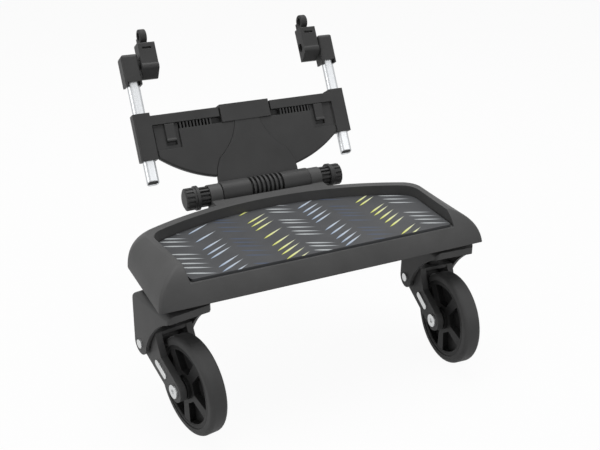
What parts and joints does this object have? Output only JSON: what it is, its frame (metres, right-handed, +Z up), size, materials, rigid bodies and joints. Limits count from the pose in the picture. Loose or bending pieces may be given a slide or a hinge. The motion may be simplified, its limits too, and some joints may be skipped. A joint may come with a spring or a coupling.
{
  "type": "stroller riding board",
  "caption": "Dark plastic riding board for behind a stroller: matted deck on sprung swivel casters, folding neck with sliding arms, height tubes and strap clamps.",
  "frame": {"origin": "on the floor under the middle of the whole part's box", "axes": "+X to the right as seen from behind the rider, +Y forwards to the stroller, +Z up"},
  "size_m": [0.3951, 0.3448, 0.3668],
  "materials": {
    "dark_plastic": "matte, finely grained",
    "mat_rubber": "matte, printed with slanted dashes",
    "tube_aluminium": "satin, anodised",
    "bright_steel": "bright",
    "bush_plastic": "smooth",
    "strap_rubber": "matte",
    "wheel_tyre": "matte"
  },
  "bodies": {
    "deck": {"deck_board": "dark_plastic", "deck_mat": "mat_rubber", "hinge_axle": "bright_steel", "swivel_bush_left": "bush_plastic", "swivel_bush_right": "bush_plastic"},
    "neck": {"neck_cover": "dark_plastic", "wing_plate": "dark_plastic", "pocket_plate_left": "dark_plastic", "pocket_plate_right": "dark_plastic", "neck_screws": "bright_steel"},
    "knob_left": {"hinge_knob_left": "dark_plastic", "hinge_collar_left": "dark_plastic"},
    "arm_left": {"arm_front_left": "dark_plastic", "arm_back_left": "dark_plastic", "arm_screws_left": "bright_steel"},
    "latch_left": {"latch_tab_left": "dark_plastic"},
    "tube_left": {"height_tube_left": "tube_aluminium", "tube_plug_left": "dark_plastic", "tube_cap_left": "dark_plastic", "cap_pin_left": "bright_steel"},
    "clamp_left": {"clamp_block_left": "dark_plastic", "clamp_bolt_left": "bright_steel", "clamp_strap_left": "strap_rubber"},
    "caster_left": {"caster_crown_left": "dark_plastic", "swivel_stem_left": "bright_steel", "swivel_washer_left": "bright_steel", "pivot_pin_left": "bright_steel", "suspension_buffer_left": "strap_rubber"},
    "swing_left": {"swing_arm_left": "dark_plastic", "swing_badges_left": "bright_steel", "axle_bolt_left": "bright_steel"},
    "wheel_left": {"wheel_rim_left": "dark_plastic", "tyre_left": "wheel_tyre", "wheel_bushes_left": "bush_plastic"},
    "knob_right": {"hinge_knob_right": "dark_plastic", "hinge_collar_right": "dark_plastic"},
    "arm_right": {"arm_front_right": "dark_plastic", "arm_back_right": "dark_plastic", "arm_screws_right": "bright_steel"},
    "latch_right": {"latch_tab_right": "dark_plastic"},
    "tube_right": {"height_tube_right": "tube_aluminium", "tube_plug_right": "dark_plastic", "tube_cap_right": "dark_plastic", "cap_pin_right": "bright_steel"},
    "clamp_right": {"clamp_block_right": "dark_plastic", "clamp_bolt_right": "bright_steel", "clamp_strap_right": "strap_rubber"},
    "caster_right": {"caster_crown_right": "dark_plastic", "swivel_stem_right": "bright_steel", "swivel_washer_right": "bright_steel", "pivot_pin_right": "bright_steel", "suspension_buffer_right": "strap_rubber"},
    "swing_right": {"swing_arm_right": "dark_plastic", "swing_badges_right": "bright_steel", "axle_bolt_right": "bright_steel"},
    "wheel_right": {"wheel_rim_right": "dark_plastic", "tyre_right": "wheel_tyre", "wheel_bushes_right": "bush_plastic"}
  },
  "joints": [
    {"name": "neck_fold", "type": "hinge", "parent": "deck", "child": "neck", "pos_m": [0, 0.0495, 0.189], "axis": [1, 0, 0], "range_deg": [-35, 105]},
    {"name": "knob_turn_left", "type": "hinge", "parent": "deck", "child": "knob_left", "pos_m": [0, 0.0495, 0.189], "axis": [-1, 0, 0], "range_deg": [0, 180]},
    {"name": "arm_width_left", "type": "slide", "parent": "neck", "child": "arm_left", "axis": [-1, 0, 0], "range_m": [0, 0.045]},
    {"name": "latch_lift_left", "type": "hinge", "parent": "arm_left", "child": "latch_left", "pos_m": [-0.098, 0.10243, 0.26522], "axis": [-1, 0, 0], "range_deg": [0, 10], "stiffness_Nm_per_rad": 0.02, "springref_deg": -5.73},
    {"name": "tube_height_left", "type": "slide", "parent": "arm_left", "child": "tube_left", "axis": [0, 0.4695, 0.8829], "range_m": [-0.033, 0.025]},
    {"name": "clamp_turn_left", "type": "hinge", "parent": "tube_left", "child": "clamp_left", "pos_m": [-0.10595, 0.14471, 0.32865], "axis": [1, 0, 0], "range_deg": [-40, 40]},
    {"name": "caster_swivel_left", "type": "hinge", "parent": "deck", "child": "caster_left", "pos_m": [-0.1637, -0.0895, 0.145], "axis": [0, 0, 1], "continuous": true},
    {"name": "suspension_left", "type": "hinge", "parent": "caster_left", "child": "swing_left", "pos_m": [-0.16908, -0.06049, 0.0845], "axis": [-0.9833, -0.1822, 0], "range_deg": [0, 12], "stiffness_Nm_per_rad": 20, "springref_deg": -2.86, "deforming": ["suspension_buffer_left"]},
    {"name": "wheel_spin_left", "type": "hinge", "parent": "swing_left", "child": "wheel_left", "pos_m": [-0.15842, -0.11801, 0.054], "axis": [0.9833, 0.1822, 0], "continuous": true},
    {"name": "knob_turn_right", "type": "hinge", "parent": "deck", "child": "knob_right", "pos_m": [0, 0.0495, 0.189], "axis": [1, 0, 0], "range_deg": [0, 180]},
    {"name": "arm_width_right", "type": "slide", "parent": "neck", "child": "arm_right", "axis": [1, 0, 0], "range_m": [0, 0.045]},
    {"name": "latch_lift_right", "type": "hinge", "parent": "arm_right", "child": "latch_right", "pos_m": [0.098, 0.10243, 0.26522], "axis": [-1, 0, 0], "range_deg": [0, 10], "stiffness_Nm_per_rad": 0.02, "springref_deg": -5.73},
    {"name": "tube_height_right", "type": "slide", "parent": "arm_right", "child": "tube_right", "axis": [0, 0.4695, 0.8829], "range_m": [-0.033, 0.025]},
    {"name": "clamp_turn_right", "type": "hinge", "parent": "tube_right", "child": "clamp_right", "pos_m": [0.10595, 0.14471, 0.32865], "axis": [1, 0, 0], "range_deg": [-40, 40]},
    {"name": "caster_swivel_right", "type": "hinge", "parent": "deck", "child": "caster_right", "pos_m": [0.1637, -0.0895, 0.145], "axis": [0, 0, 1], "continuous": true},
    {"name": "suspension_right", "type": "hinge", "parent": "caster_right", "child": "swing_right", "pos_m": [0.16576, -0.06007, 0.0845], "axis": [-0.9976, 0.0698, 0], "range_deg": [0, 12], "stiffness_Nm_per_rad": 20, "springref_deg": -2.86, "deforming": ["suspension_buffer_right"]},
    {"name": "wheel_spin_right", "type": "hinge", "parent": "swing_right", "child": "wheel_right", "pos_m": [0.16168, -0.11843, 0.054], "axis": [0.9976, -0.0698, 0], "continuous": true}
  ]
}
